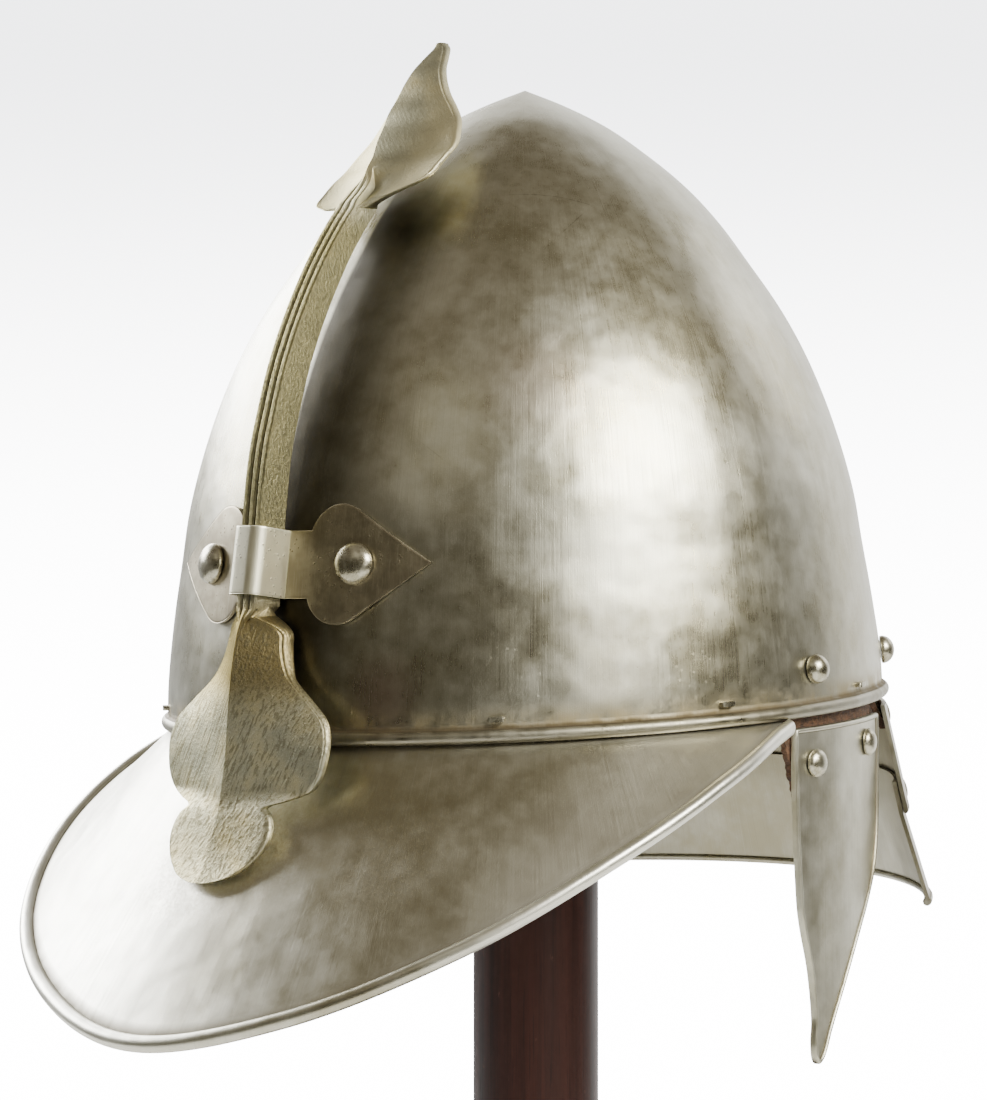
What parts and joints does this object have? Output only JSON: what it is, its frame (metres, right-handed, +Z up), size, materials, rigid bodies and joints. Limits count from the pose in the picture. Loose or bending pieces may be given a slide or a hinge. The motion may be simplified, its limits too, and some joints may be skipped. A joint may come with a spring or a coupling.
{
  "type": "ottoman helmet with display stand",
  "caption": "Pointed steel helmet with sloping peak, sliding nasal with leaf and trefoil ends, cheek pieces and laminated neck guard, on a plain turned wooden stand.",
  "frame": {"origin": "centre of the stand base's underside, on the post's axis", "axes": "+Z up, -Y the way the helmet faces, +X the wearer's left"},
  "size_m": [0.2478, 0.2918, 0.4515],
  "materials": {
    "steel": "tarnished steel with fine brush marks and olive-brown patches",
    "cast_metal": "pale yellowish-grey cast metal, hatched and pitted",
    "dark_steel": "dark brownish steel, upright brushing, light edges",
    "polished_steel": "worn polished rivet heads",
    "leather": "dark brown worn leather",
    "mahogany": "dark reddish-brown wood with a thin satin varnish and scratches"
  },
  "bodies": {
    "helmet_and_stand": {"skull": "steel", "peak": "steel", "nasal_bracket": "dark_steel", "bracket_rivet_left": "polished_steel", "bracket_rivet_right": "polished_steel", "cheek_piece_left": "steel", "cheek_rivet_left_1": "polished_steel", "cheek_rivet_left_2": "polished_steel", "cheek_leather_left": "leather", "cheek_piece_right": "steel", "cheek_rivet_right_1": "polished_steel", "cheek_rivet_right_2": "polished_steel", "cheek_leather_right": "leather", "neck_guard_upper": "steel", "neck_guard_lower": "steel", "neck_leather_left": "leather", "neck_rivet_left_upper": "steel", "neck_rivet_left_lower": "steel", "neck_leather_back": "leather", "neck_rivet_back_upper": "steel", "neck_rivet_back_lower": "steel", "neck_leather_right": "leather", "neck_rivet_right_upper": "steel", "neck_rivet_right_lower": "steel", "skull_rivet_left_front": "polished_steel", "skull_rivet_left_back": "polished_steel", "skull_rivet_back": "polished_steel", "skull_rivet_right_back": "polished_steel", "skull_rivet_right_front": "polished_steel", "rim_pin_left_1": "dark_steel", "rim_pin_left_2": "dark_steel", "rim_pin_left_3": "dark_steel", "rim_pin_left_4": "dark_steel", "rim_pin_right_1": "dark_steel", "rim_pin_right_2": "dark_steel", "rim_pin_right_3": "dark_steel", "rim_pin_right_4": "dark_steel", "stand_base": "mahogany", "stand_post": "mahogany", "stand_head": "mahogany"},
    "nasal": {"nasal": "cast_metal"}
  },
  "joints": [
    {"name": "nasal_slide", "type": "slide", "parent": "helmet_and_stand", "child": "nasal", "axis": [0, 0.0917, 0.9958], "range_m": [-0.0025, 0.004]}
  ]
}
